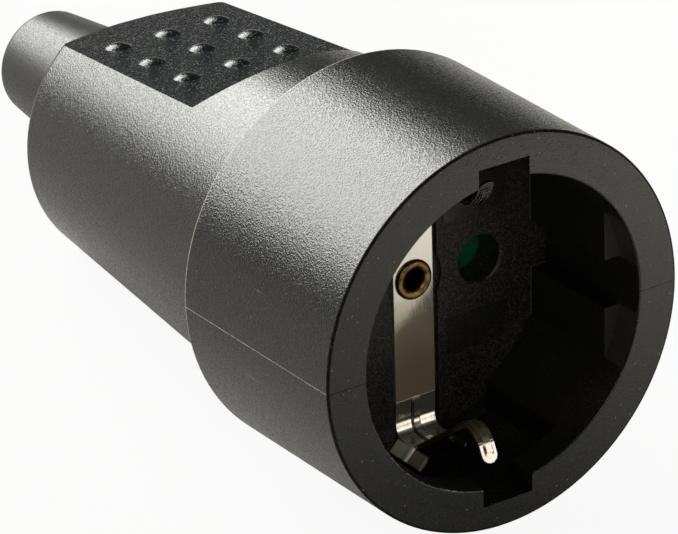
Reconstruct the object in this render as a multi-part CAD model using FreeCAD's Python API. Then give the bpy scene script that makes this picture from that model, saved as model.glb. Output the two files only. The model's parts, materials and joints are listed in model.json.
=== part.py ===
import FreeCAD, Part
import math
import os

os.makedirs("parts", exist_ok=True)

# Every value is in mm. While a piece is made the socket's axis is Y: the rim is at y = 0,
# the cord leaves toward +y, x is to the right and z is up. rest() then lays it down.

# Plug interface
PIN_PITCH = 19.0
PIN_HOLE_R = 2.93
PIN_LEAD_IN = 0.25
WELL_R = 19.15
WELL_DEPTH = 18.1

# Front housing
HEAD_FRONT_R = 24.4
HEAD_BACK_R = 24.85
HEAD_LEN = 28.83
BACK_ROUND = 0.2
RIM_ROUND = 0.25
MOUTH_ROUND = 0.2
SEAT_R = 20.6
NOTCH_W = 7.0
NOTCH_R = 21.2
POCKET_W = 20.0
POCKET_R = 22.4
POCKET_FRONT = 4.0
RIB_FACE = 16.8
RIB_FRONT = 3.6
RIB_INNER = 3.1
RIB_ROOT = 0.2
SNAP_DEPTH = 0.6
SNAP_LEN = 1.0
SNAP_SHY = 0.1
SNAP_SPAN = 50.0

# Clearances
FIT_GAP = 0.1
SHAFT_GAP = 0.06
THREAD_GAP = 0.05
MOVE_GAP = 0.3

# Floor of the well
PLATE_T = 4.2
CHANNEL_W = 6.6
CHANNEL_DEPTH = 0.65
RECESS_R = 3.95
PANEL_RISE = 0.15
PANEL_X = (4.2, 13.15)
PANEL_Z = (6.1, 11.0)
SKIRT_T = 1.6

# Rotary shutter with its stops and return spring
BOSS_R = 3.6
SHUTTER_T = 2.3
HUB_R = 5.4
VANE_R = 13.4
VANE_SPAN = 42.0
SHUTTER_TURN = 42.0
RAMP_START = -1.0
RAMP_RUN = 6.6
RAMP_DROP = 1.6
STOP_R = (8.0, 12.5)
STOP_SPAN = 4.0
STOP_SHY = 0.7
LEAF_T = 0.3
LEAF_W = 1.4
LEAF_ANCHOR = (112.0, 92.0)
LEAF_BOW_AT = 55.0
LEAF_CLEAR = 2.0
LEAF_HOLD = 0.5
LEAF_BENDS = (4.0, 8.0)

# Earth strap
STRAP_T = 0.45
STRAP_W = 5.6
CREASE_Z = 15.4
CREASE_R = 0.6
STRAP_LEAN = 0.25
BASE_Z = 19.85
HEEL_Y = 15.1
CREST_Y = 6.3
CREST_Z = 13.32
KNEE_Y = 4.1
KNEE_Z = 15.65
TIP_Y = 3.07
TIP_Z = 17.75
TIP_W = 2.1
TAPER_END = 7.2
BEND_R = 1.5
FOLD_R = 0.5
CREST_R = 2.2
KNEE_R = 1.5
BEAD_W = 0.9
BEAD_RISE = 0.28
BEAD_REACH = 1.1
WING_OUT = 1.37
WING_FALL = 1.37
WING_Y = (12.06, 18.0)
WING_RIB_Y = 15.0
WING_RIB_R = 0.5

# Hollow rivet and earth lug
RIVET_HOLE_R = 1.2
RIVET_TUBE_R = 2.0
RIVET_FLANGE_R = 2.5
RIVET_RISE = 0.5
RIVET_ROLL = 0.45
RIVET_FUNNEL = 0.75
RIVET_HEM_R = 2.9
RIVET_HEM = 0.8
LUG_T = 1.0
LUG_W = 5.8
LUG_FOOT = 4.0
LUG_TOP = 8.5
LUG_REACH = 9.9
LUG_SCREW_REACH = 5.4

# Contact carrier
FLANGE_T = 1.4
WEB_R = 7.0
WEB_T = 3.4
TOWER_R = 6.0
TOWER_LEN = 12.8
TOWER_BORE_R = 4.25
TOWER_LIP = 1.2
TOWER_DOOR_R = 3.2
TAIL_W = 13.0
TAIL_Z = (-10.0, -7.0)
CLAMP_Y = (53.0, 62.0)
CLAMP_W = 22.0
CLAMP_REST = -4.8
PILLAR_X = 8.0
PILLAR_R = 2.6
PILLAR_TOP = 4.4

# Contacts
SLEEVE_R = 3.5
SLEEVE_HOLE_R = 2.45
SLEEVE_SLIT = 0.8
SLIT_LEN = 8.0
TERMINAL = 9.0
TERMINAL_LEN = 7.0
WIRE_R = 1.7
WIRE_DEPTH = 5.0
SPRING_T = 0.5
SPRING_AT = (29.0, 32.0)
SPRING_SLIT = 3.0

# Screws
M3_R = 1.5
M3_HEAD_R = 2.6
M3_HEAD = 2.0
M35_R = 1.75
M35_HEAD_R = 3.2
SLOT_W = 0.7
SLOT_DEPTH = 0.8
SCREW_LEN = 4.0
CLAMP_BAR_T = 2.6
CLAMP_BAR_INSET = 1.0
CLAMP_RIDGE = (7.0, 2.0, 1.0)
CLAMP_SCREW_LEN = 8.0

# Rear body
BODY_FRONT_R = 21.75
BODY_REAR_R = 17.95
BODY_END = 77.0
BODY_ROUND = 1.2
DOME_R = 13.6
DOME_END = 79.0
COLLAR_END = 79.5
SPIGOT_WALL = 1.9
CAVITY_REAR_R = 15.4
CAVITY_Y = (30.0, 75.4)
PAD_Z0 = 19.56
PAD_SLOPE = 0.0783
PAD_FRONT = 45.1
PAD_WALL = 2.4
STUD_R = 1.65
STUD_RISE = 0.55
STUD_PITCH_X = 7.2
STUD_PITCH_Y = 8.0
STUD_MID_Y = 63.0
CUT_REACH = 40.0

# Cord sleeve
CORD_HOLE_R = 4.6
NECK_FRONT_R = 9.4
NECK_REAR_R = 7.1
NECK_END = 102.75
NECK_ROUND = 1.4
SLEEVE_FLANGE_R = 11.0
SLEEVE_FLANGE = 2.5

# Where the stacked pieces lie along the axis
PIN_X = PIN_PITCH / 2
PLATE_BACK = WELL_DEPTH + PLATE_T
SHUTTER_Y = PLATE_BACK + MOVE_GAP
CARRIER_Y = SHUTTER_Y + SHUTTER_T + MOVE_GAP
SPIGOT_Y = CARRIER_Y + FLANGE_T
TOWER_Y = CARRIER_Y + TOWER_LEN
LUG_Y = CARRIER_Y + WEB_T
INSERT_R = SEAT_R - FIT_GAP
CAVITY_FRONT_R = INSERT_R - SPIGOT_WALL
STRAP_Y = WELL_DEPTH + CHANNEL_DEPTH - STRAP_T
SNAP_Y = (SPIGOT_Y + HEAD_LEN) / 2
LUG_SCREW_Y = LUG_Y + LUG_SCREW_REACH
CLAMP_MID = sum(CLAMP_Y) / 2
REST_DROP = HEAD_BACK_R - BACK_ROUND - PAD_Z0 + PAD_SLOPE * DOME_END
REST_RUN = DOME_END - HEAD_LEN + BACK_ROUND
REST_TILT = math.atan2(REST_DROP, REST_RUN) + math.asin(BACK_ROUND / math.hypot(REST_DROP, REST_RUN))

vec = FreeCAD.Vector
ORIGIN = vec(0, 0, 0)
ALONG = vec(0, 1, 0)
UP = vec(0, 0, 1)
RIGHT = vec(1, 0, 0)


def disc(r, y0, y1, x=0, z=0):
    return Part.makeCylinder(r, y1 - y0, vec(x, y0, z), ALONG)


def post(r, z0, z1, x, y):
    return Part.makeCylinder(r, z1 - z0, vec(x, y, z0), UP)


def block(x, y, z):
    return Part.makeBox(x[1] - x[0], y[1] - y[0], z[1] - z[0], vec(x[0], y[0], z[0]))


def wide(half):
    return (-half, half)


def turned(profile, degrees=360):
    corners = [vec(r, y, 0) for r, y in profile]
    face = Part.Face(Part.makePolygon(corners + corners[:1]))
    solid = face.revolve(ORIGIN, ALONG, degrees)
    if solid.Volume < 0:
        solid.reverse()
    return solid


def sector(r, y, middle, span):
    piece = turned([(r[0], y[0]), (r[1], y[0]), (r[1], y[1]), (r[0], y[1])], span)
    piece.rotate(ORIGIN, ALONG, middle - span / 2)
    return piece


def rounded_rims(solid, radius, rims):
    edges = []
    for edge in solid.Edges:
        if isinstance(edge.Curve, Part.Circle):
            place = (edge.Curve.Radius, edge.Curve.Center.y)
            if any(math.dist(place, rim) < 0.001 for rim in rims):
                edges.append(edge)
    return solid.makeFillet(radius, edges)


def mirrored(shape, normal):
    return shape.fuse(shape.mirror(ORIGIN, normal)).removeSplitter()


def half_turn(shape):
    other = shape.copy()
    other.rotate(ORIGIN, ALONG, 180)
    return shape.fuse(other).removeSplitter()


def directions(path):
    steps = []
    for a, b in zip(path, path[1:]):
        length = math.dist(a, b)
        steps.append(((b[0] - a[0]) / length, (b[1] - a[1]) / length))
    return steps


def shifted(path, t):
    steps = directions(path)
    normals = [(-d[1], d[0]) for d in steps]
    moved = []
    for i, p in enumerate(path):
        m = normals[max(i - 1, 0)]
        n = normals[min(i, len(normals) - 1)]
        share = t / (1 + m[0] * n[0] + m[1] * n[1])
        moved.append((p[0] + (m[0] + n[0]) * share, p[1] + (m[1] + n[1]) * share))
    return moved


def curved(path, radii, place):
    steps = directions(path)
    edges = []
    last = path[0]
    for p, r, d, e in zip(path[1:-1], radii, steps, steps[1:]):
        half = math.acos(d[0] * e[0] + d[1] * e[1]) / 2
        back = r * math.tan(half)
        start = (p[0] - d[0] * back, p[1] - d[1] * back)
        end = (p[0] + e[0] * back, p[1] + e[1] * back)
        edges.append(Part.makeLine(place(*last), place(*start)))
        bow = r / math.cos(half) - r
        inward = math.dist((e[0], e[1]), (d[0], d[1]))
        middle = (p[0] + (e[0] - d[0]) / inward * bow, p[1] + (e[1] - d[1]) / inward * bow)
        edges.append(Part.Arc(place(*start), place(*middle), place(*end)).toShape())
        last = end
    edges.append(Part.makeLine(place(*last), place(*path[-1])))
    return edges


def strip(path, radii, t, place, sweep):
    steps = directions(path)
    turns = [math.copysign(1, d[0] * e[1] - d[1] * e[0]) for d, e in zip(steps, steps[1:])]
    far = shifted(path, t)
    far_radii = [r - t * turn for r, turn in zip(radii, turns)]
    edges = curved(path, radii, place) + curved(far, far_radii, place)
    edges.append(Part.makeLine(place(*path[0]), place(*far[0])))
    edges.append(Part.makeLine(place(*path[-1]), place(*far[-1])))
    wire = Part.Wire(Part.__sortEdges__(edges))
    return Part.Face(wire).extrude(sweep)


def slotted_screw(r, head_r, z0, z1, x, y):
    screw = post(r, z0, z1, x, y).fuse(post(head_r, z1, z1 + M3_HEAD, x, y))
    top = z1 + M3_HEAD
    slot = block((x - head_r, x + head_r), (y - SLOT_W / 2, y + SLOT_W / 2), (top - SLOT_DEPTH, top))
    return screw.removeSplitter().cut(slot)


def pad_z(y):
    return PAD_Z0 - PAD_SLOPE * y


def pad_cut(wall):
    front = PAD_FRONT
    low = pad_z(front) - wall
    end = front + CUT_REACH
    rise = CUT_REACH - low
    side = [(front, low), (end, pad_z(end) - wall), (end, CUT_REACH), (front - rise, CUT_REACH)]
    corners = [vec(-CUT_REACH, y, z) for y, z in side]
    cut = Part.Face(Part.makePolygon(corners + corners[:1])).extrude(vec(2 * CUT_REACH, 0, 0))
    return cut.fuse(cut.mirror(ORIGIN, UP))


def socket_head():
    groove = (SNAP_Y - SNAP_LEN / 2, SNAP_Y + SNAP_LEN / 2)
    shell = turned([(WELL_R, 0), (HEAD_FRONT_R, 0), (HEAD_BACK_R, HEAD_LEN), (SEAT_R, HEAD_LEN),
                    (SEAT_R, groove[1]), (SEAT_R + SNAP_DEPTH, groove[1]),
                    (SEAT_R + SNAP_DEPTH, groove[0]), (SEAT_R, groove[0]),
                    (SEAT_R, WELL_DEPTH), (WELL_R, WELL_DEPTH)])
    shell = rounded_rims(shell, RIM_ROUND, [(HEAD_FRONT_R, 0)])
    shell = rounded_rims(shell, MOUTH_ROUND, [(WELL_R, 0)])
    shell = rounded_rims(shell, BACK_ROUND, [(HEAD_BACK_R, HEAD_LEN)])
    rib = block((RIB_FACE, WELL_R), (RIB_FRONT, WELL_DEPTH), (RIB_INNER, WELL_R))
    rib = rib.common(disc(WELL_R + RIB_ROOT, RIB_FRONT, WELL_DEPTH))
    ribs = mirrored(mirrored(rib, UP), RIGHT)
    notch = block(wide(NOTCH_W / 2), (-1, WELL_DEPTH + CHANNEL_DEPTH + FIT_GAP), wide(NOTCH_R))
    pocket = block(wide(POCKET_W / 2), (POCKET_FRONT, WELL_DEPTH), wide(POCKET_R))
    pocket = pocket.common(disc(POCKET_R, POCKET_FRONT, WELL_DEPTH))
    return shell.fuse(ribs).removeSplitter().cut(notch).cut(pocket)


def stop_rib(middle):
    return sector(STOP_R, (PLATE_BACK, SHUTTER_Y + SHUTTER_T - STOP_SHY), middle, STOP_SPAN)


def face_plate():
    plate = disc(INSERT_R, WELL_DEPTH, PLATE_BACK)
    skirt = disc(INSERT_R, PLATE_BACK, CARRIER_Y).cut(disc(INSERT_R - SKIRT_T, PLATE_BACK, CARRIER_Y))
    plate = plate.fuse(skirt).fuse(disc(BOSS_R, PLATE_BACK, CARRIER_Y))
    clear = VANE_SPAN / 2 + STOP_SPAN
    plate = plate.fuse(half_turn(stop_rib(-clear))).fuse(half_turn(stop_rib(SHUTTER_TURN + clear)))
    panel = block(PANEL_X, (WELL_DEPTH - PANEL_RISE, WELL_DEPTH), PANEL_Z)
    plate = plate.fuse(mirrored(panel, UP)).removeSplitter()
    floor = WELL_DEPTH + CHANNEL_DEPTH
    plate = plate.cut(block(wide(CHANNEL_W / 2), (WELL_DEPTH, floor), wide(SEAT_R)))
    deep = block(wide(CHANNEL_W / 2), (WELL_DEPTH, floor + STRAP_LEAN + FIT_GAP), (CREASE_Z, SEAT_R))
    plate = plate.cut(mirrored(deep, UP))
    plate = plate.cut(disc(RECESS_R, WELL_DEPTH, floor))
    plate = plate.cut(disc(RIVET_TUBE_R + THREAD_GAP, WELL_DEPTH, CARRIER_Y))
    lead = turned([(0, 0), (PIN_HOLE_R + PIN_LEAD_IN, 0), (PIN_HOLE_R, PIN_LEAD_IN), (0, PIN_LEAD_IN)])
    for x in (-PIN_X, PIN_X):
        plate = plate.cut(disc(PIN_HOLE_R, WELL_DEPTH, PLATE_BACK, x))
        plate = plate.cut(lead.translated(vec(x, WELL_DEPTH, 0)))
    return plate


def safety_shutter():
    back = SHUTTER_Y + SHUTTER_T
    vane = sector((BOSS_R, VANE_R), (SHUTTER_Y, back), 0, VANE_SPAN)
    ramp = [(SHUTTER_Y, RAMP_START), (SHUTTER_Y, RAMP_START + RAMP_RUN),
            (SHUTTER_Y + RAMP_DROP, RAMP_START + RAMP_RUN)]
    corners = [vec(HUB_R, y, z) for y, z in ramp]
    wedge = Part.Face(Part.makePolygon(corners + corners[:1])).extrude(vec(VANE_R, 0, 0))
    vane = vane.cut(wedge)
    shutter = disc(HUB_R, SHUTTER_Y, back).fuse(half_turn(vane)).removeSplitter()
    return shutter.cut(disc(BOSS_R + SHAFT_GAP, SHUTTER_Y, back))


def shutter_spring():
    wall = INSERT_R - SKIRT_T - FIT_GAP
    y = SHUTTER_Y + (SHUTTER_T - LEAF_W) / 2

    def at(r, angle):
        turn = math.radians(angle)
        return (r * math.cos(turn), -r * math.sin(turn))

    def place(x, z):
        return vec(x, y, z)

    touch = VANE_SPAN / 2 + STOP_SHY
    path = [at(wall, LEAF_ANCHOR[0]), at(wall, LEAF_ANCHOR[1]), at(VANE_R + LEAF_CLEAR, LEAF_BOW_AT),
            at(VANE_R - LEAF_HOLD, touch)]
    return strip(path, LEAF_BENDS, LEAF_T, place, vec(0, LEAF_W, 0))


def strap_wing():
    edge = STRAP_W / 2
    top = -BASE_Z
    slope = math.hypot(WING_OUT, WING_FALL)
    down = (-WING_FALL / slope * STRAP_T, -WING_OUT / slope * STRAP_T)
    tip = (edge + WING_OUT, top - WING_FALL)
    shape = [(edge, top), tip, (tip[0] + down[0], tip[1] + down[1]), (edge + down[0], top + down[1])]
    corners = [vec(x, WING_Y[0], z) for x, z in shape]
    face = Part.Face(Part.makePolygon(corners + corners[:1]))
    wing = face.extrude(vec(0, WING_Y[1] - WING_Y[0], 0))
    root = vec(edge + down[0] / 2, WING_RIB_Y, top + down[1] / 2)
    rib = Part.makeCylinder(WING_RIB_R, slope, root, vec(WING_OUT, 0, -WING_FALL))
    return mirrored(wing.fuse(rib).removeSplitter(), RIGHT)


def tip_corners():
    step = directions([(KNEE_Y, -KNEE_Z), (TIP_Y, -TIP_Z)])[0]
    along = vec(0, *step)
    across = vec(0, -step[1], step[0])
    reach = TIP_W / 2
    start = vec(0, TIP_Y, -TIP_Z) - along * reach - across * reach
    corners = [start - RIGHT * TIP_W, start + RIGHT * TIP_W]
    corners += [p + along * TIP_W for p in reversed(corners)]
    end = Part.Face(Part.makePolygon(corners + corners[:1])).extrude(across * TIP_W)
    return end.cut(Part.makeCylinder(reach, TIP_W, start, across))


def earth_strap():
    def place(y, z):
        return vec(-STRAP_W / 2, y, z)

    def bead_place(y, z):
        return vec(-BEAD_W / 2, y, z)

    crease = (STRAP_Y, -CREASE_Z)
    bend = (STRAP_Y + STRAP_LEAN, -BASE_Z)
    clip = [crease, bend, (HEEL_Y, -BASE_Z), (CREST_Y, -CREST_Z), (KNEE_Y, -KNEE_Z)]
    path = [(STRAP_Y, 0)] + clip + [(TIP_Y, -TIP_Z)]
    folds = [BEND_R, FOLD_R, CREST_R]
    half = strip(path, [CREASE_R] + folds + [KNEE_R], STRAP_T, place, vec(STRAP_W, 0, 0))
    side = [(STRAP_W / 2, CARRIER_Y), (STRAP_W / 2, HEEL_Y), (TIP_W / 2, TAPER_END), (TIP_W / 2, 0)]
    around = [vec(x, y, -CUT_REACH) for x, y in side] + [vec(-x, y, -CUT_REACH) for x, y in reversed(side)]
    half = half.common(Part.Face(Part.makePolygon(around + around[:1])).extrude(vec(0, 0, 2 * CUT_REACH)))
    half = half.cut(tip_corners())
    step = directions([(KNEE_Y, -KNEE_Z), (TIP_Y, -TIP_Z)])[0]
    bead_end = (KNEE_Y + step[0] * BEAD_REACH, -KNEE_Z + step[1] * BEAD_REACH)
    bead = strip(clip + [bead_end], folds + [KNEE_R], -BEAD_RISE, bead_place, vec(BEAD_W, 0, 0))
    half = half.fuse(bead).fuse(strap_wing()).removeSplitter()
    strap = mirrored(half, UP)
    return strap.cut(disc(RIVET_TUBE_R + THREAD_GAP, STRAP_Y, STRAP_Y + STRAP_T))


def earth_rivet():
    front = STRAP_Y - RIVET_RISE
    lug_back = LUG_Y + LUG_T
    end = lug_back + RIVET_HEM
    rivet = turned([(RIVET_HOLE_R, front), (RIVET_FLANGE_R, front), (RIVET_FLANGE_R, STRAP_Y),
                    (RIVET_TUBE_R, STRAP_Y), (RIVET_TUBE_R, lug_back), (RIVET_HEM_R, lug_back),
                    (RIVET_HEM_R, end), (RIVET_HOLE_R, end)])
    rivet = rounded_rims(rivet, RIVET_ROLL, [(RIVET_FLANGE_R, front), (RIVET_HEM_R, end)])
    return rounded_rims(rivet, RIVET_FUNNEL, [(RIVET_HOLE_R, front)])


def earth_lug():
    def place(y, z):
        return vec(-LUG_W / 2, y, z)

    path = [(LUG_Y, -LUG_FOOT), (LUG_Y, LUG_TOP), (LUG_Y + LUG_REACH, LUG_TOP)]
    lug = strip(path, [LUG_T + FOLD_R], -LUG_T, place, vec(LUG_W, 0, 0))
    lug = lug.cut(disc(RIVET_TUBE_R + THREAD_GAP, LUG_Y, LUG_Y + LUG_T))
    return lug.cut(post(M35_R + THREAD_GAP, LUG_TOP - LUG_T, LUG_TOP, 0, LUG_SCREW_Y))


def contact_carrier():
    carrier = disc(INSERT_R, CARRIER_Y, SPIGOT_Y).fuse(disc(WEB_R, CARRIER_Y, LUG_Y))
    for x in (-PIN_X, PIN_X):
        carrier = carrier.fuse(disc(TOWER_R, CARRIER_Y, TOWER_Y, x))
    carrier = carrier.fuse(block(wide(TAIL_W / 2), (CARRIER_Y, CLAMP_Y[1]), TAIL_Z))
    carrier = carrier.fuse(block(wide(CLAMP_W / 2), CLAMP_Y, (TAIL_Z[0], CLAMP_REST)))
    for x in (-PILLAR_X, PILLAR_X):
        carrier = carrier.fuse(post(PILLAR_R, TAIL_Z[0], PILLAR_TOP, x, CLAMP_MID))
    carrier = carrier.removeSplitter()
    for x in (-PIN_X, PIN_X):
        carrier = carrier.cut(disc(TOWER_DOOR_R, CARRIER_Y, TOWER_Y, x))
        carrier = carrier.cut(disc(TOWER_BORE_R, CARRIER_Y + TOWER_LIP, TOWER_Y, x))
    for x in (-PILLAR_X, PILLAR_X):
        carrier = carrier.cut(post(M3_R + THREAD_GAP, PILLAR_TOP - CLAMP_SCREW_LEN, PILLAR_TOP, x, CLAMP_MID))
    return carrier.cut(disc(RIVET_TUBE_R + THREAD_GAP, CARRIER_Y, LUG_Y))


def contact(x):
    front = CARRIER_Y + TOWER_LIP + FIT_GAP
    sleeve = disc(SLEEVE_R, front, TOWER_Y, x).cut(disc(SLEEVE_HOLE_R, front, TOWER_Y, x))
    slit = (front, front + SLIT_LEN)
    sleeve = sleeve.cut(block((x - SLEEVE_R, x + SLEEVE_R), slit, wide(SLEEVE_SLIT / 2)))
    sleeve = sleeve.cut(block((x - SLEEVE_SLIT / 2, x + SLEEVE_SLIT / 2), slit, wide(SLEEVE_R)))
    half = TERMINAL / 2
    back = TOWER_Y + TERMINAL_LEN
    terminal = block((x - half, x + half), (TOWER_Y, back), wide(half))
    terminal = terminal.cut(disc(WIRE_R, back - WIRE_DEPTH, back, x))
    middle = TOWER_Y + TERMINAL_LEN / 2
    terminal = terminal.cut(post(M3_R + THREAD_GAP, half - SCREW_LEN - FIT_GAP, half, x, middle))
    return sleeve.fuse(terminal).removeSplitter()


def contact_spring(x):
    inner = SLEEVE_R + THREAD_GAP
    coil = disc(inner + SPRING_T, *SPRING_AT, x).cut(disc(inner, *SPRING_AT, x))
    return coil.cut(block((x - SPRING_SLIT / 2, x + SPRING_SLIT / 2), SPRING_AT, (0, 2 * SLEEVE_R)))


def terminal_screw(x):
    half = TERMINAL / 2
    return slotted_screw(M3_R, M3_HEAD_R, half - SCREW_LEN, half, x, TOWER_Y + TERMINAL_LEN / 2)


def earth_terminal_screw():
    return slotted_screw(M35_R, M35_HEAD_R, LUG_TOP - SCREW_LEN, LUG_TOP, 0, LUG_SCREW_Y)


def cord_clamp():
    y = (CLAMP_Y[0] + CLAMP_BAR_INSET, CLAMP_Y[1] - CLAMP_BAR_INSET)
    bar = block(wide(CLAMP_W / 2), y, (PILLAR_TOP, PILLAR_TOP + CLAMP_BAR_T))
    width, length, drop = CLAMP_RIDGE
    ridge_y = (CLAMP_MID - length / 2, CLAMP_MID + length / 2)
    bar = bar.fuse(block(wide(width / 2), ridge_y, (PILLAR_TOP - drop, PILLAR_TOP))).removeSplitter()
    for x in (-PILLAR_X, PILLAR_X):
        bar = bar.cut(post(M3_R + THREAD_GAP, PILLAR_TOP, PILLAR_TOP + CLAMP_BAR_T, x, CLAMP_MID))
    return bar


def clamp_screw(x):
    seat = PILLAR_TOP + CLAMP_BAR_T
    tip = PILLAR_TOP - CLAMP_SCREW_LEN + FIT_GAP
    return slotted_screw(M3_R, M3_HEAD_R, tip, seat, x, CLAMP_MID)


def studs():
    ball_r = (STUD_R ** 2 + STUD_RISE ** 2) / (2 * STUD_RISE)
    lean = math.atan(PAD_SLOPE)
    sink = ball_r - STUD_RISE
    balls = []
    for row in (-1, 0, 1):
        for column in (-1, 0, 1):
            y = STUD_MID_Y + row * STUD_PITCH_Y
            x = column * STUD_PITCH_X
            foot = vec(x, y - sink * math.sin(lean), pad_z(y) - sink * math.cos(lean))
            balls.append(Part.makeSphere(ball_r, foot))
    return balls


def rear_body():
    body = turned([(0, SPIGOT_Y), (INSERT_R, SPIGOT_Y), (INSERT_R, HEAD_LEN), (BODY_FRONT_R, HEAD_LEN),
                   (BODY_REAR_R, BODY_END), (DOME_R, DOME_END), (NECK_FRONT_R, COLLAR_END), (0, COLLAR_END)])
    body = rounded_rims(body, BODY_ROUND, [(BODY_REAR_R, BODY_END)])
    body = body.cut(pad_cut(0))
    top = body.multiFuse(studs())
    body = top.multiFuse([ball.mirror(ORIGIN, UP) for ball in studs()]).removeSplitter()
    snap = (SNAP_Y - SNAP_LEN / 2 + SNAP_SHY, SNAP_Y + SNAP_LEN / 2 - SNAP_SHY)
    hook = sector((CAVITY_FRONT_R, SEAT_R + SNAP_DEPTH - SNAP_SHY), snap, 0, SNAP_SPAN)
    body = body.fuse(half_turn(hook)).removeSplitter()
    cavity = turned([(0, SPIGOT_Y), (CAVITY_FRONT_R, SPIGOT_Y), (CAVITY_FRONT_R, CAVITY_Y[0]),
                     (CAVITY_REAR_R, CAVITY_Y[1]), (0, CAVITY_Y[1])])
    body = body.cut(cavity.cut(pad_cut(PAD_WALL)))
    return body.cut(disc(NECK_FRONT_R + FIT_GAP, CAVITY_Y[1], COLLAR_END + 1))


def cable_sleeve():
    seat = CAVITY_Y[1]
    front = seat - SLEEVE_FLANGE
    sleeve = turned([(CORD_HOLE_R, front), (SLEEVE_FLANGE_R, front), (SLEEVE_FLANGE_R, seat),
                     (NECK_FRONT_R, seat), (NECK_FRONT_R, COLLAR_END), (NECK_REAR_R, NECK_END),
                     (CORD_HOLE_R, NECK_END)])
    return rounded_rims(sleeve, NECK_ROUND, [(NECK_REAR_R, NECK_END)])


def rest(shape):
    lying = shape.copy()
    lying.rotate(ORIGIN, RIGHT, -math.degrees(REST_TILT))
    return lying


PIECES = {
    "socket_head": socket_head(),
    "face_plate": face_plate(),
    "earth_strap": earth_strap(),
    "earth_rivet": earth_rivet(),
    "safety_shutter": safety_shutter(),
    "shutter_spring": shutter_spring(),
    "contact_carrier": contact_carrier(),
    "left_contact": contact(-PIN_X),
    "right_contact": contact(PIN_X),
    "left_contact_spring": contact_spring(-PIN_X),
    "right_contact_spring": contact_spring(PIN_X),
    "earth_lug": earth_lug(),
    "left_terminal_screw": terminal_screw(-PIN_X),
    "right_terminal_screw": terminal_screw(PIN_X),
    "earth_terminal_screw": earth_terminal_screw(),
    "cord_clamp": cord_clamp(),
    "left_clamp_screw": clamp_screw(-PILLAR_X),
    "right_clamp_screw": clamp_screw(PILLAR_X),
    "rear_body": rear_body(),
    "cable_sleeve": cable_sleeve(),
}

for name, piece in PIECES.items():
    rest(piece).exportStep(os.path.join("parts", name + ".step"))
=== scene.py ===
# The frame: the connector's solids as they were packed, lying on a table. Its axis leans back by
# a few degrees, because the head is wider than the grip.
import json
import math

import bpy
from mathutils import Matrix, Vector


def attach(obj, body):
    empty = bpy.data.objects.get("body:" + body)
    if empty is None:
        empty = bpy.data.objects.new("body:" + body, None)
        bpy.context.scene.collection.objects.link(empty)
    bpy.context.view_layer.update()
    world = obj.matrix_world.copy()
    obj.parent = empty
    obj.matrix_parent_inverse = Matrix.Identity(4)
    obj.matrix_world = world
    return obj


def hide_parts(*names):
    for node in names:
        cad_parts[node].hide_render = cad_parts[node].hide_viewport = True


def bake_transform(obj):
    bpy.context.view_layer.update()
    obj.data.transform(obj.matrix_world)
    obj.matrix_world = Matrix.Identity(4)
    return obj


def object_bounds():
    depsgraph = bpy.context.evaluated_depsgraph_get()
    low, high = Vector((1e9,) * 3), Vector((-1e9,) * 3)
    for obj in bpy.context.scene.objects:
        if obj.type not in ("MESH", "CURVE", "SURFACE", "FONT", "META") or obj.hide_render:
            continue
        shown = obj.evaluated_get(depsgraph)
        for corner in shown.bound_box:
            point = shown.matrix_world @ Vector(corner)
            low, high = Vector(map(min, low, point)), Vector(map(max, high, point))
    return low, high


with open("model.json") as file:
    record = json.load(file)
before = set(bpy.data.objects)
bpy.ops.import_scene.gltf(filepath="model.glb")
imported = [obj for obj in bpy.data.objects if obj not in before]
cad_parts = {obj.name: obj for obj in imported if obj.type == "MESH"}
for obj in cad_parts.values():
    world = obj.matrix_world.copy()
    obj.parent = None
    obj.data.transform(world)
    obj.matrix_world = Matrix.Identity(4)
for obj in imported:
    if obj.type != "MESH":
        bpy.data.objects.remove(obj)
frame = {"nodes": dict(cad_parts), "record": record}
cad_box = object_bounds()
nodes = frame["nodes"]
scene = bpy.context.scene
mounts = {mount["name"]: mount for mount in frame["record"]["mounts"]}
mouth_way = Vector(mounts["plug_socket"]["axis"])
LEAN = math.atan2(mouth_way.z, -mouth_way.y)
MM = 0.001


# Socket head: one black moulding with a spark-eroded grain outside, a smoother flat rim and a
# well whose inside is painted darker as painted shade. Its two mould halves meet in a fine seam at both
# sides.
class Line:
    """A shader socket that takes Python's arithmetic."""

    def __init__(self, finish, socket):
        self.finish = finish
        self.socket = socket

    def math(self, operation, a, b=0.0):
        return self.finish.add("ShaderNodeMath", {"operation": operation}, {0: a, 1: b})

    def __add__(self, other):
        return self.math("ADD", self, other)

    def __radd__(self, other):
        return self.math("ADD", other, self)

    def __sub__(self, other):
        return self.math("SUBTRACT", self, other)

    def __rsub__(self, other):
        return self.math("SUBTRACT", other, self)

    def __mul__(self, other):
        return self.math("MULTIPLY", self, other)

    def __rmul__(self, other):
        return self.math("MULTIPLY", other, self)

    def __abs__(self):
        return self.math("ABSOLUTE", self)

    def root(self):
        return self.math("SQRT", self)

    def above(self, low, high):
        """0 below low, 1 above high, smooth between."""
        ends = {"Value": self, "From Min": low, "From Max": high}
        return self.finish.add("ShaderNodeMapRange", {"interpolation_type": "SMOOTHSTEP"}, ends)


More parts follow.
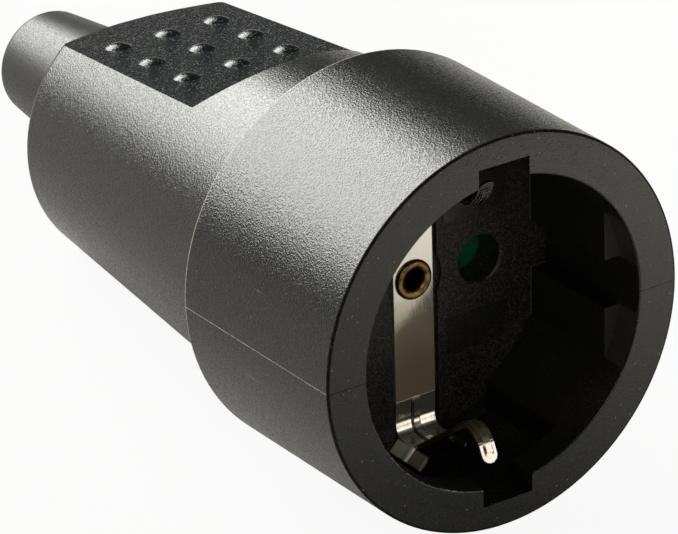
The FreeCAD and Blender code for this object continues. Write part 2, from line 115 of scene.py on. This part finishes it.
class Finish:
    """One material, drawn as expressions on Lines."""

    def __init__(self, name, owners=bpy.data.materials):
        self.material = owners.new(name)
        self.material.use_nodes = True
        self.tree = self.material.node_tree
        self.tree.nodes.clear()

    def add(self, kind, settings=None, sockets=None, out=0):
        """Any node: its type, its settings, then the values or links of its sockets."""
        node = self.tree.nodes.new(kind)
        for key, value in (settings or {}).items():
            setattr(node, key, value)
        for key, value in (sockets or {}).items():
            if isinstance(value, Line):
                self.tree.links.new(value.socket, node.inputs[key])
            else:
                node.inputs[key].default_value = value
        return Line(self, node.outputs[out]) if node.outputs else None

    def point(self):
        """The point on the piece, as it lies on the table."""
        return self.add("ShaderNodeTexCoord", out="Object")

    def upright(self, point):
        """The same point with the lean taken out: X to the right, Y back from the rim, Z up."""
        turn = {"Vector": point, "Angle": LEAN}
        return self.add("ShaderNodeVectorRotate", {"rotation_type": "X_AXIS"}, turn)

    def split(self, vector):
        node = self.add("ShaderNodeSeparateXYZ", {}, {"Vector": vector}).socket.node
        return [Line(self, node.outputs[i]) for i in range(3)]

    def stretch(self, vector, scale):
        return self.add("ShaderNodeVectorMath", {"operation": "MULTIPLY"}, {0: vector, 1: scale})

    def mix(self, share, first, second):
        sockets = {"Factor": share, 6: first, 7: second}
        return self.add("ShaderNodeMix", {"data_type": "RGBA"}, sockets, 2)

    def noise(self, vector, per_metre, detail=2.0, rough=0.5):
        sockets = {"Vector": vector, "Scale": per_metre, "Detail": detail, "Roughness": rough}
        return self.add("ShaderNodeTexNoise", {}, sockets, 0)

    def bump(self, distance, height, normal):
        return self.add("ShaderNodeBump", {}, {"Distance": distance, "Height": height, "Normal": normal})

    def coat(self, sockets):
        return self.add("ShaderNodeBsdfPrincipled", {}, sockets)

    def layer(self, share, first, second):
        return self.add("ShaderNodeMixShader", {}, {0: share, 1: first, 2: second})

    def surface(self, shader, output="ShaderNodeOutputMaterial"):
        self.add(output, {}, {"Surface": shader})


def dress(piece, finish):
    piece.data.materials.clear()
    piece.data.materials.append(finish.material)


GRAIN_PER_METRE = 4400
GRAIN_DEPTH = 0.052 * MM
GRAIN_ROUGH = 0.12
GRAIN_IOR = 1.5
PIT_DULL = 0.20
BLACK = (0.002, 0.0019, 0.0016, 1)
RUBBED = (0.020, 0.019, 0.0165, 1)
# Pale dust colour, also used for painted highlights on the head.
DUST_AND_HIGHLIGHT = (0.30, 0.28, 0.25, 1)


def moulded_grain(finish, point, depth, share, normal):
    """Spark-eroded grain: dark, dull pits between paler, rubbed tops. Gives tops, colour and normal."""
    height = finish.noise(point, GRAIN_PER_METRE, detail=1.0)
    tops = height.above(0.36, 0.64)
    return tops, finish.mix(tops, BLACK, RUBBED), finish.bump(depth, height * share, normal)


def specks(finish, point, per_metre, size, kept):
    """Scattered dots: one in each cell of a loose grid, of which only a share is kept."""
    grid = finish.add("ShaderNodeTexVoronoi", {}, {"Vector": point, "Scale": per_metre}).socket.node
    near = 1 - Line(finish, grid.outputs["Distance"]).above(size * 0.6, size)
    chance = finish.split(Line(finish, grid.outputs["Color"]))[0]
    return near * chance.above(1 - kept, 1.01 - kept)


def soft_edge(finish, radius):
    return finish.add("ShaderNodeBevel", {"samples": 4}, {"Radius": radius})


# The band on an edge's turn. The plate and the strap paint highlights on it, and the head makes it a little
# paler.
def edge_turn_mask(finish, radius):
    """1 on an edge's turn and 0 on the faces beside it, with the rounded normal."""
    rounded = soft_edge(finish, radius)
    flat = finish.add("ShaderNodeNewGeometry", out="Normal")
    agree = finish.add("ShaderNodeVectorMath", {"operation": "DOT_PRODUCT"}, {0: rounded, 1: flat}, "Value")
    return 1 - agree.above(0.80, 0.97), rounded


WELL_R = 19.15 * MM
WELL_FADE = 3 * MM
WELL_DEPTH = 18.1 * MM
WELL_DULL = 0.2
RIM_R = 24.4 * MM
RIM_DEPTH = 0.3 * MM
RIM_IOR = 1.54
TURN_FROM = RIM_R - 0.34 * MM
TURN_FULL = RIM_R - 0.27 * MM
TURN_ROUGH = 0.6
TURN_GLOSS = 0.1
RIB_FACE = 16.8 * MM
RIB_FRONT = 3.6 * MM
RIB_INNER = 3.1 * MM
RIB_FADE = 0.2 * MM
HEAD_LEN = 28.83 * MM
HEAD_EDGE = 0.1 * MM
LIP_FROM = HEAD_LEN - 0.32 * MM
LIP_FULL = HEAD_LEN - 0.22 * MM
SEAM_DROP = 0.25 * MM
SEAM_CORE = 0.02 * MM
SEAM_HALF = 0.09 * MM
SEAM_RISE = 0.06 * MM
SCUFF_PULL = (1, 0.06, 1)


def head_dust_and_highlights(skin, point, along, rim, inside):
    """Where dust and lint lie, as specks and drawn scuffs, and the painted highlights: the ribs' front faces
    and feet, and a band at the head's rear end that covers the whole rear shoulder.
    """
    x, y, z = skin.split(along)
    rib = abs(x).above(RIB_FACE - RIB_FADE, RIB_FACE) * abs(z).above(RIB_INNER - RIB_FADE, RIB_INNER) * inside
    rib_front_highlight = rib * (1 - y.above(RIB_FRONT, RIB_FRONT + 0.1 * MM))
    rib_foot_highlight = rib * y.above(WELL_DEPTH - 0.3 * MM, WELL_DEPTH - 0.1 * MM)
    lip_highlight = y.above(LIP_FROM, LIP_FULL)
    lint = specks(skin, point, per_metre=1400, size=0.17, kept=0.24) * (0.3 + 0.7 * rim)
    drawn = skin.noise(skin.stretch(along, SCUFF_PULL), 1500, detail=0.0)
    scuffs = drawn.above(0.825, 0.845) * (1 - inside) * (1 - rim)
    # Painted highlights: the ribs' front faces and feet and the band at the head's rear end are paled with
    # the dust colour, beside real lint and scuffs.
    return lint * 0.8 + scuffs * 0.15 + rib_foot_highlight * 0.6 + rib_front_highlight * 0.1 + lip_highlight


def head_finish():
    skin = Finish("head_black_moulding")
    point = skin.point()
    along = skin.upright(point)
    x, y, z = skin.split(along)
    radius = (x * x + z * z).root()
    rim = 1 - y.above(0.5 * RIM_DEPTH, RIM_DEPTH)
    inside = (1 - radius.above(WELL_R, WELL_R + WELL_FADE)) * (1 - rim)
    turn = radius.above(TURN_FROM, TURN_FULL) * (1 - y.above(0.6 * RIM_DEPTH, 1.2 * RIM_DEPTH))
    seam = 1 - abs(z + SEAM_DROP).above(SEAM_CORE, SEAM_HALF)
    edge_band, rounded = edge_turn_mask(skin, HEAD_EDGE)
    tops, colour, grain = moulded_grain(skin, point, GRAIN_DEPTH, (1 - 0.6 * rim) * (1 - edge_band), rounded)
    parted = skin.bump(SEAM_RISE, seam, grain)
    # Painted shade: the well's inside is darkened towards black.
    colour = skin.mix(inside * 0.4, colour, BLACK)
    # Painted highlights on the ribs and the rear end, real lint and scuffs, and slightly paler edge turns are
    # mixed in here.
    colour = skin.mix(head_dust_and_highlights(skin, point, along, rim, inside) + edge_band * 0.06, colour, DUST_AND_HIGHLIGHT)
    pits = PIT_DULL * (1 - tops) * (1 - rim)
    rough = GRAIN_ROUGH + pits + WELL_DULL * inside + 0.04 * skin.noise(point, 150)
    flank = skin.coat({"Base Color": colour, "Roughness": rough, "Normal": parted, "IOR": GRAIN_IOR})
    face = skin.coat({"Base Color": colour, "Roughness": rough, "Normal": parted, "IOR": RIM_IOR})
    edge = skin.coat({"Base Color": colour, "Roughness": TURN_ROUGH, "Normal": rounded,
                      "Specular IOR Level": TURN_GLOSS})
    skin.surface(skin.layer(turn, skin.layer(rim, flank, face), edge))
    return skin


head_black = head_finish()
dress(nodes["socket_head"], head_black)

# Rim edge: the quarter round where the head's flat face turns into its flank. It is part of the same
# moulding, drawn again as a fine round bead, most of it inside the wall, to run clean on white.
EDGE_ROUND = 0.25 * MM
EDGE_SUNK = 0.006 * MM
TURN_STEPS = 480
SWINGS = range(0, 360, 15)
leaning = Matrix.Rotation(-LEAN, 3, "X")


def placed(name, data):
    """A new object of the scene."""
    thing = bpy.data.objects.new(name, data)
    scene.collection.objects.link(thing)
    return thing


def rim_bead():
    points, faces = [], []
    for swing in SWINGS:
        r = RIM_R - EDGE_SUNK - EDGE_ROUND * (1 - math.sin(math.radians(swing)))
        y = EDGE_SUNK + EDGE_ROUND * (1 - math.cos(math.radians(swing)))
        for step in range(TURN_STEPS):
            turn = step * math.tau / TURN_STEPS
            points.append(leaning @ Vector((r * math.cos(turn), y, r * math.sin(turn))))
    for row in range(len(SWINGS)):
        here, after = row * TURN_STEPS, (row + 1) % len(SWINGS) * TURN_STEPS
        for a in range(TURN_STEPS):
            b = (a + 1) % TURN_STEPS
            faces.append((here + a, after + a, after + b, here + b))
    mesh = bpy.data.meshes.new("rim_edge")
    mesh.from_pydata(points, [], faces)
    mesh.polygons.foreach_set("use_smooth", [True] * len(faces))
    return mesh


edge = placed("rim_edge", rim_bead())
dress(edge, head_black)
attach(edge, "housing")

# Face plate: the well's moulded floor, with fine grain round two smooth raised panels. It is
# pressed against the head's shoulder from behind.
PANEL_TOP = 18.0 * MM
PANEL_FADE = 0.05 * MM
PLATE_EDGE = 0.15 * MM
PLATE_ROUGH = 0.4
# Pale dust colour, also used for painted glints and edge highlights on the plate.
FLOOR_DUST_AND_SHEEN = (0.30, 0.27, 0.20, 1)


def plate_finish():
    skin = Finish("plate_black_moulding")
    point = skin.point()
    y = skin.split(skin.upright(point))[1]
    panel = 1 - y.above(PANEL_TOP, PANEL_TOP + PANEL_FADE)
    edge_band, rounded = edge_turn_mask(skin, PLATE_EDGE)
    tops, colour, grain = moulded_grain(skin, point, GRAIN_DEPTH, 1 - 0.8 * panel, rounded)
    lint = specks(skin, point, per_metre=500, size=0.06, kept=0.25)
    # Painted glints: the grain's tops are paled, less on the panels. Painted highlights: the edges' turns are
    # paled. The lint specks are real dust.
    glint = tops.above(0.55, 1.0) * (0.17 - 0.13 * panel)
    colour = skin.mix(glint + lint * 0.4 + edge_band * 0.25, colour, FLOOR_DUST_AND_SHEEN)
    rough = PLATE_ROUGH - 0.08 * panel
    skin.surface(skin.coat({"Base Color": colour, "Roughness": rough, "Normal": grain, "IOR": GRAIN_IOR}))
    return skin


dress(nodes["face_plate"], plate_finish())

# Earth strap: nickel-plated strip with a bright rolled finish, bent into a spring clip at each end.
# Plugs have rubbed fine lines into it. Its arms, the lines beside its beads, its upper tip and two of the
# matt side wings that hold it in the head are painted near black as painted shade. Painted highlights
# and a painted reflection pale its upper part, its foot, its edges and the other two wings' rear parts,
# whose front parts are painted darker.
WING_X = 2.85 * MM
WING_Z = 19.5 * MM
WING_FRONT = (14.4 * MM, 14.5 * MM)
CREASE_Z = 15.4 * MM
CREASE_CORE = 0.03 * MM
CREASE_HALF = 0.12 * MM
CREASE_RISE = 0.05 * MM
BEAD_SIDE = 0.52 * MM
BEAD_TIP = (3.4 * MM, 3.6 * MM)
BEAD_KNEE = (CREASE_Z + 0.3 * MM, CREASE_Z + 0.5 * MM)
ARM_FRONT = (4.0 * MM, 4.6 * MM)
ARM_BACK = (14.2 * MM, 14.8 * MM)
TIP_Y = (8 * MM, 9 * MM)
TIP_Z = (13.0 * MM, 14.5 * MM)
FOOT_Y = (15.3 * MM, 15.6 * MM)
FOOT_Z = (-17.9 * MM, -17.1 * MM)
DISH_Z = (-19.05 * MM, -17.65 * MM)
DISH_RISE = 0.45 * MM
FILM_TOP = (-9 * MM, -1 * MM)
FILM_FOOT = (-CREASE_Z, 0.1 * MM - CREASE_Z)
REFLECTION_Z = (-2.6 * MM, -2 * MM)
STRAP_EDGE = 0.1 * MM
RUB_PULL = (9, 1, 1)
RUB_DEPTH = 0.002 * MM
NICKEL = (0.80, 0.73, 0.62, 1)
NICKEL_PALE = (0.88, 0.83, 0.74, 1)
NICKEL_REFLECTION = (0.97, 0.92, 0.84, 1)
NICKEL_FILM = (0.72, 0.55, 0.33, 1)
NICKEL_FOOT_HIGHLIGHT = (1.0, 0.93, 0.80, 1)
NICKEL_PIT = (0.20, 0.16, 0.12, 1)
NICKEL_EDGE_HIGHLIGHT = (0.90, 0.85, 0.75, 1)
ARM_SHADE = (0.020, 0.015, 0.010, 1)
WING_LIT = (0.95, 0.88, 0.78, 1)
WING_SHADED = (0.42, 0.34, 0.23, 1)
SHADE_BLACK = (0.008, 0.007, 0.006, 1)


def nickel_finish():
    skin = Finish("strap_nickel")
    point = skin.point()
    along = skin.upright(point)
    x, y, z = skin.split(along)
    wing = abs(x).above(WING_X, WING_X + 0.05 * MM) * abs(z).above(WING_Z, WING_Z + 0.1 * MM)
    # Painted shade: one wing of each pair is made near black where shade falls.
    shaded_wing = wing * (1 - (x * z).above(0.0, MM * MM))
    tip = z.above(*TIP_Z) * (1 - y.above(*TIP_Y))
    kept_metal = (1 - wing) * (1 - tip) * (1 - shaded_wing)
    crease = 1 - abs(abs(z) - CREASE_Z).above(CREASE_CORE, CREASE_HALF)
    arm = (1 - y.above(*ARM_BACK)) * y.above(*ARM_FRONT)
    foot = (1 - z.above(*FOOT_Z)) * y.above(*FOOT_Y)
    dish = (1 - z.above(*DISH_Z)) * (1 - wing) * y.above(*FOOT_Y)
    bead_side = 1 - abs(abs(x) - BEAD_SIDE).above(0.08 * MM, 0.2 * MM)
    bead_line = bead_side * y.above(*BEAD_TIP) * abs(z).above(*BEAD_KNEE)
    film = (1 - z.above(*FILM_TOP)) * z.above(*FILM_FOOT)
    edge_band, rounded = edge_turn_mask(skin, STRAP_EDGE)
    rubbed = skin.noise(skin.stretch(along, RUB_PULL), 420, detail=3.0, rough=0.6)
    cloud = skin.noise(point, 330, detail=3.0, rough=0.6)
    pits = specks(skin, point, per_metre=900, size=0.12, kept=0.14)
    tone = skin.mix(cloud, NICKEL, NICKEL_PALE)
    # Painted reflection: the strap above the rivet is paler.
    tone = skin.mix(z.above(*REFLECTION_Z), tone, NICKEL_REFLECTION)
    tone = skin.mix(film * (0.6 + 0.4 * cloud), tone, NICKEL_FILM)
    # Painted highlight: the bend at the strap's foot is paled to cream.
    tone = skin.mix(0.8 * foot, tone, NICKEL_FOOT_HIGHLIGHT)
    tone = skin.mix(pits * 0.5, tone, NICKEL_PIT)
    # Painted shade: the arms and the lines beside the bead, where the tip's slots are, are darkened to near
    # black.
    tone = skin.mix(0.75 * arm + 0.85 * bead_line, tone, ARM_SHADE)
    # Painted light and shade: the wings' rear part is pale and their front part darker.
    matt = skin.mix(1 - y.above(*WING_FRONT), WING_LIT, WING_SHADED)
    tone = skin.mix(wing, tone, matt)
    # Painted shade: the upper tip and one wing of each pair are made near black.
    tone = skin.mix(shaded_wing + tip, tone, SHADE_BLACK)
    # Painted highlights: the edges' turns are paled, except on the near-black wings.
    tone = skin.mix(edge_band * (0.8 - 0.8 * shaded_wing), tone, NICKEL_EDGE_HIGHLIGHT)
    metal = 0.86 * kept_metal - 0.26 * film + 0.2 * wing * (1 - shaded_wing) - 0.3 * edge_band * kept_metal
    patches = 0.04 * cloud + 0.1 * foot * cloud.above(0.3, 0.6)
    rough = 0.07 + 0.05 * rubbed.above(0.35, 0.7) + 0.3 * wing + patches
    lines = skin.bump(RUB_DEPTH, rubbed, rounded)
    scored = skin.bump(CREASE_RISE, crease, lines)
    dished = skin.bump(DISH_RISE, dish, scored)
    skin.surface(skin.coat({"Base Color": tone, "Metallic": metal, "Roughness": rough, "Normal": dished}))
    return skin


dress(nodes["earth_strap"], nickel_finish())

# Hollow rivet: a drawn brass tube, rolled over the strap's middle to hold it and the earth lug to
# the plate. The brass has gone dark and streaky, and its bore and rolled edge are painted darker still
# as painted shade.
ROLLED_EDGE = (2.2 * MM, 2.45 * MM)
RIVET_BORE = (1.3 * MM, 1.7 * MM)
RIVET_BRASS = (0.50, 0.31, 0.12, 1)
RIVET_STAIN = (0.12, 0.062, 0.022, 1)
RIVET_DARK = (0.03, 0.016, 0.006, 1)


def rivet_finish():
    skin = Finish("rivet_dull_brass")
    point = skin.point()
    x, _, z = skin.split(skin.upright(point))
    radius = (x * x + z * z).root()
    stain = skin.noise(point, 1300, detail=4.0, rough=0.65)
    shaded = radius.above(*ROLLED_EDGE) + (1 - radius.above(*RIVET_BORE))
    tone = skin.mix(stain.above(0.38, 0.66), RIVET_BRASS, RIVET_STAIN)
    # Painted shade: the bore and the rolled edge are darkened.
    tone = skin.mix(0.8 * shaded, tone, RIVET_DARK)
    skin.surface(skin.coat({"Base Color": tone, "Metallic": 1.0, "Roughness": 0.24 + 0.2 * stain}))
    return skin


dress(nodes["earth_rivet"], rivet_finish())

# Contacts and earth lug: brass, the contacts as slit sleeves with terminal blocks and the lug as a
# stamped tongue. The carrier holds the contacts behind the shutter, and the rivet holds the lug.
BRASS = (0.62, 0.40, 0.15, 1)
BRASS_STAIN = (0.40, 0.23, 0.08, 1)


def brass_finish():
    skin = Finish("stamped_brass")
    stain = skin.noise(skin.point(), 420, detail=4.0, rough=0.6)
    tone = skin.mix(stain.above(0.4, 0.75), BRASS, BRASS_STAIN)
    skin.surface(skin.coat({"Base Color": tone, "Metallic": 1.0, "Roughness": 0.22 + 0.2 * stain}))
    return skin


brass = brass_finish()
for name in ("left_contact", "right_contact", "earth_lug"):
    dress(nodes[name], brass)

# Safety shutter: one green moulding that turns on the boss behind the face plate. Its vanes close
# both pin holes until a plug pushes them aside.
GREEN = (0.004, 0.10, 0.05, 1)
GREEN_PALE = (0.006, 0.15, 0.075, 1)


def green_finish():
    skin = Finish("shutter_green_moulding")
    cloud = skin.noise(skin.point(), 500, detail=3.0)
    tone = skin.mix(cloud, GREEN, GREEN_PALE)
    skin.surface(skin.coat({"Base Color": tone, "Roughness": 0.32 + 0.1 * cloud}))
    return skin


dress(nodes["safety_shutter"], green_finish())

# Shutter spring: a bent steel leaf. One end is caught behind the plate's skirt and the free end lies
# on the shutter's vane, so the real leaf bends when the shutter turns. Here it is a fixed copy of the
# spring's mesh, and the spring itself is hidden.
STEEL = (0.50, 0.50, 0.49, 1)
STEEL_PALE = (0.62, 0.61, 0.59, 1)


def steel_finish():
    skin = Finish("bright_steel")
    streak = skin.noise(skin.point(), 1500)
    tone = skin.mix(streak, STEEL, STEEL_PALE)
    skin.surface(skin.coat({"Base Color": tone, "Metallic": 1.0, "Roughness": 0.25 + 0.15 * streak}))
    return skin


steel = steel_finish()
leaf = placed("shutter_leaf", nodes["shutter_spring"].data.copy())
dress(leaf, steel)
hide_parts("shutter_spring")
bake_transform(leaf)

# Contact springs and screws: bright steel. The springs are rings sprung round the slit contacts, and
# the screws are turned, for the three terminals and the cord clamp.
for name in ("left_contact_spring", "right_contact_spring", "left_terminal_screw",
             "right_terminal_screw", "earth_terminal_screw", "left_clamp_screw", "right_clamp_screw"):
    dress(nodes[name], steel)

# Contact carrier and cord clamp: satin black mouldings. The carrier holds the contacts in line with
# the pin holes, and the clamp's bar is screwed down on its bridge to grip the cord.
CARRIER = (0.03, 0.03, 0.031, 1)
CARRIER_PALE = (0.045, 0.045, 0.046, 1)


def carrier_finish():
    skin = Finish("carrier_moulding")
    cloud = skin.noise(skin.point(), 800, detail=3.0)
    tone = skin.mix(cloud, CARRIER, CARRIER_PALE)
    skin.surface(skin.coat({"Base Color": tone, "Roughness": 0.4 + 0.15 * cloud}))
    return skin


carrier = carrier_finish()
for name in ("contact_carrier", "cord_clamp"):
    dress(nodes[name], carrier)

# Rear body: tapered grip with the head's grain. The two flat finger pads are shallower cut in the
# mould, so they are smoother, and each has nine low studs.
PAD_Z0 = 19.56 * MM
PAD_SLOPE = 0.0783
PAD_FRONT = 45.1 * MM
PAD_SKIN = (-0.04 * MM, -0.01 * MM)
PAD_TINT = (0.012, 0.015, 0.0165, 1)
PAD_GLINT = (0.30, 0.33, 0.35, 1)
GRIP_EDGE = 0.15 * MM


def body_finish():
    skin = Finish("grip_black_moulding")
    point = skin.point()
    _, y, z = skin.split(skin.upright(point))
    over_pad = (abs(z) + PAD_SLOPE * y - PAD_Z0).above(*PAD_SKIN)
    pad = over_pad * y.above(PAD_FRONT - 0.1 * MM, PAD_FRONT)
    tops, colour, grain = moulded_grain(skin, point, GRAIN_DEPTH, 1.0, soft_edge(skin, GRIP_EDGE))
    lint = specks(skin, point, per_metre=420, size=0.06, kept=0.25)
    # Painted glints: pale specks on the finger pads.
    pad_glints = specks(skin, point, per_metre=2600, size=0.36, kept=0.4)
    colour = skin.mix(pad * tops, colour, PAD_TINT)
    colour = skin.mix(0.4 * pad * pad_glints, colour, PAD_GLINT)
    colour = skin.mix(lint * 0.3, colour, DUST_AND_HIGHLIGHT)
    rough = GRAIN_ROUGH + PIT_DULL * (1 - tops) * (1 - 0.6 * pad) + 0.04 * skin.noise(point, 150)
    skin.surface(skin.coat({"Base Color": colour, "Roughness": rough, "Normal": grain, "IOR": GRAIN_IOR}))
    return skin


dress(nodes["rear_body"], body_finish())

# Cord sleeve: a tube of softer black rubber, pushed into the grip's end to keep the cord from
# kinking. Its grain is shallower and duller.
SLEEVE_GRAIN = 0.5 * GRAIN_DEPTH
SLEEVE_EDGE = 0.3 * MM
SLEEVE_DULL = 0.14


def sleeve_finish():
    skin = Finish("sleeve_rubber")
    point = skin.point()
    tops, colour, grain = moulded_grain(skin, point, SLEEVE_GRAIN, 1.0, soft_edge(skin, SLEEVE_EDGE))
    rough = GRAIN_ROUGH + SLEEVE_DULL + PIT_DULL * (1 - tops) + 0.05 * skin.noise(point, 300)
    skin.surface(skin.coat({"Base Color": colour, "Roughness": rough, "Normal": grain, "IOR": GRAIN_IOR}))
    return skin


dress(nodes["cable_sleeve"], sleeve_finish())

# Table: a plain white board. It shows white to the eye, and its lit and shaded parts show in the
# socket's own reflections.
FLOOR_Z = cad_box[0].z
FLOOR_HALF = 0.25
EYE_WHITE = 0.92
GLOSS_WHITE = 0.03
BOARD = (0.72, 0.71, 0.685, 1)
WHITE = (1, 1, 1, 1)


def shown_white(finish, to_eye, to_gloss):
    """How much of a surface or of the room is plain white for a ray from the eye or off the socket."""
    rays = finish.add("ShaderNodeLightPath").socket.node.outputs
    mirrored = Line(finish, rays["Is Glossy Ray"]) + Line(finish, rays["Is Transmission Ray"])
    return to_eye * Line(finish, rays["Is Camera Ray"]) + to_gloss * mirrored


def floor_finish():
    skin = Finish("white_table")
    lit = skin.add("ShaderNodeBsdfDiffuse", {}, {"Color": BOARD})
    glow = skin.add("ShaderNodeEmission", {}, {"Color": WHITE, "Strength": 1.0})
    skin.surface(skin.layer(shown_white(skin, EYE_WHITE, GLOSS_WHITE), lit, glow))
    return skin


floor_mesh = bpy.data.meshes.new("floor")
corners = [(-FLOOR_HALF, -FLOOR_HALF, FLOOR_Z), (FLOOR_HALF, -FLOOR_HALF, FLOOR_Z),
           (FLOOR_HALF, FLOOR_HALF, FLOOR_Z), (-FLOOR_HALF, FLOOR_HALF, FLOOR_Z)]
floor_mesh.from_pydata(corners, [], [(0, 1, 2, 3)])
floor = placed("floor", floor_mesh)
dress(floor, floor_finish())

# Studio: one tall soft box behind and above the grip, two dim cards at the front, a strip low over
# the table at the front right, and a grey room whose far wall is white to the eye.
ROOM_GREY = (0.042, 0.046, 0.047, 1)
BOX_LIGHT = (1.0, 0.995, 0.955)
CARD_LIGHT = (1.0, 0.97, 0.92)
STRIP_LIGHT = (1.0, 0.985, 0.875)
MIDDLE = Vector((0, 0.04, 0))
STRIP_SPOT = Vector((0.15, -0.09, FLOOR_Z))


def room_finish():
    room = Finish("studio", bpy.data.worlds)
    grey = room.add("ShaderNodeBackground", {}, {"Color": ROOM_GREY, "Strength": 1.0})
    white = room.add("ShaderNodeBackground", {}, {"Color": WHITE, "Strength": 1.0})
    room.surface(room.layer(shown_white(room, 1.0, GLOSS_WHITE), grey, white), "ShaderNodeOutputWorld")
    return room


def soft_box(name, aim, azimuth, elevation, distance, width, height, radiance, colour):
    """azimuth is from +Y toward +X and elevation is from the table, in degrees, seen from the aim."""
    lamp = bpy.data.lights.new(name, "AREA")
    lamp.shape = "RECTANGLE"
    lamp.size, lamp.size_y = width, height
    lamp.energy = radiance * math.pi * width * height
    lamp.color = colour
    box = placed(name, lamp)
    turn, rise = math.radians(azimuth), math.radians(elevation)
    way = Vector((math.sin(turn) * math.cos(rise), math.cos(turn) * math.cos(rise), math.sin(rise)))
    box.location = aim + way * distance
    box.rotation_mode = "QUATERNION"
    box.rotation_quaternion = way.to_track_quat("Z", "Y")
    box.visible_camera = False


scene.view_settings.view_transform = "Standard"
scene.world = room_finish().material
soft_box("back_box", MIDDLE, azimuth=-15.5, elevation=23, distance=1.6, width=1.66, height=1.10,
         radiance=10.4, colour=BOX_LIGHT)
soft_box("front_card", MIDDLE, azimuth=145, elevation=27, distance=0.5, width=0.16, height=0.16,
         radiance=1.25, colour=CARD_LIGHT)
soft_box("front_fill", MIDDLE, azimuth=-152, elevation=36, distance=1.0, width=0.5, height=0.5,
         radiance=1.5, colour=CARD_LIGHT)
soft_box("table_strip", STRIP_SPOT, azimuth=0, elevation=90, distance=0.065, width=0.04, height=0.3,
         radiance=5.3, colour=STRIP_LIGHT)

# Camera: where the photograph was taken from, solved on the rim, the well and the rear edges. It is
# written along the socket's own axis and leans with it.
EYE = leaning @ Vector((-244.3547, -336.4917, 205.8214)) * MM
EYE_RIGHT = leaning @ Vector((0.82693837, -0.56158306, -0.02823818))
EYE_UP = leaning @ Vector((0.26162532, 0.33982251, 0.90336751))
FOCAL_PX = 4097.784
FRAME_W = 678
SENSOR_W = 36.0
lens = bpy.data.cameras.new("camera")
lens.sensor_fit = "HORIZONTAL"
lens.sensor_width = SENSOR_W
lens.lens = FOCAL_PX / FRAME_W * SENSOR_W
lens.clip_start, lens.clip_end = 0.01, 100.0
camera = placed("camera", lens)
back = EYE_RIGHT.cross(EYE_UP)
camera.matrix_world = Matrix.Translation(EYE) @ Matrix((EYE_RIGHT, EYE_UP, back)).transposed().to_4x4()
scene.camera = camera
